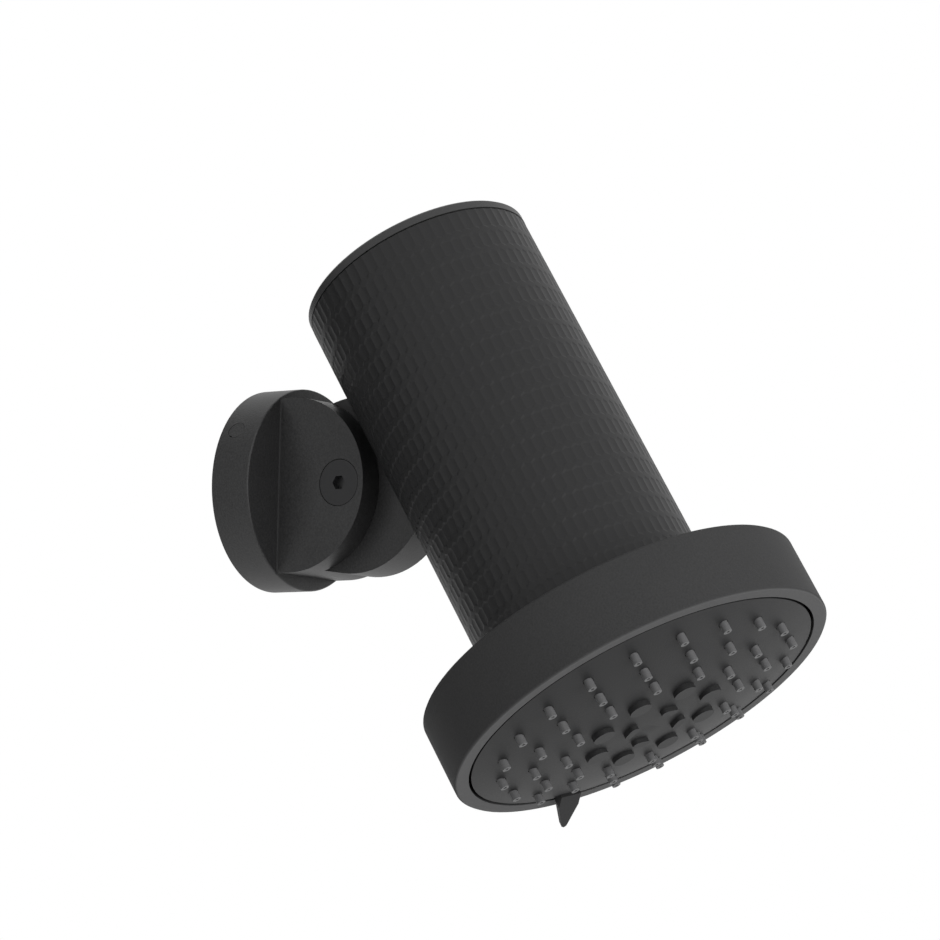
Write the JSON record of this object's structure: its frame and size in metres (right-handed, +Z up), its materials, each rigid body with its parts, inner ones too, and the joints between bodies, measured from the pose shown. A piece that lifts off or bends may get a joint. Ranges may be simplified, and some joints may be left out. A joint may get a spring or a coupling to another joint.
{
  "type": "wall shower head",
  "caption": "Wall shower head with a tilting round filter body, a drum head, a domed nozzle plate turned by a small lever, and a flange with a forked pivot.",
  "frame": {"origin": "centre of the wall flange's back face, on the inlet thread's axis, in the plane of the wall", "axes": "+Y into the wall along the inlet thread, -Y out into the room, +Z up, X along the tilt pivot"},
  "size_m": [0.12, 0.1857, 0.1866],
  "materials": {
    "bracket_black": "fine matt moulding",
    "sleeve_black": "soft-touch moulding with a raised cell pattern",
    "cap_black": "fine matt moulding",
    "head_black": "fine matt moulding",
    "plate_black": "fine matt moulding",
    "nozzle_rubber": "soft matt silicone",
    "inner_black": "plain moulding",
    "black_steel": "matt black coat",
    "steel": "bright drawn steel",
    "brass": "turned brass",
    "seal_rubber": "soft seal rubber",
    "white_plastic": "natural white moulding",
    "pad_fabric": "pressed white fleece",
    "carbon": "pressed carbon felt",
    "mineral": "bed of small beads"
  },
  "bodies": {
    "bracket": {"wall_bracket": "bracket_black", "inlet_fitting": "brass", "inlet_screen": "steel", "inlet_washer": "seal_rubber", "lock_screw": "steel", "rim_plug": "bracket_black", "pivot_spindle": "black_steel", "spindle_nut": "black_steel", "spindle_seal_near": "seal_rubber", "spindle_seal_far": "seal_rubber"},
    "head": {"filter_housing": "bracket_black", "friction_washer_near": "white_plastic", "friction_washer_far": "white_plastic", "grip_sleeve": "sleeve_black", "head_shell": "head_black", "head_seal": "seal_rubber", "flow_regulator": "white_plastic", "cartridge_gasket": "seal_rubber", "cartridge_cup": "white_plastic", "outlet_pad": "pad_fabric", "carbon_block": "carbon", "media_divider": "white_plastic", "mineral_bed": "mineral", "inlet_pad": "pad_fabric", "cartridge_lid": "white_plastic", "manifold_plate": "inner_black", "port_seal": "seal_rubber", "detent_ball": "steel", "detent_spring": "steel"},
    "cap": {"top_cap": "cap_black", "cap_gasket": "seal_rubber"},
    "selector": {"spray_plate": "plate_black", "nozzle_mat": "nozzle_rubber", "spray_carrier": "inner_black", "carrier_clip": "steel"}
  },
  "joints": [
    {"name": "head_tilt", "type": "hinge", "parent": "bracket", "child": "head", "pos_m": [0, -0.0361, 0], "axis": [1, 0, 0], "range_deg": [-3, 32]},
    {"name": "spray_select", "type": "hinge", "parent": "head", "child": "selector", "pos_m": [0, -0.13517, -0.06721], "axis": [0, 0.5299, 0.848], "range_deg": [0, 46]},
    {"name": "cap_lift", "type": "slide", "parent": "head", "child": "cap", "axis": [0, 0.5299, 0.848], "range_m": [0, 0.03]}
  ]
}
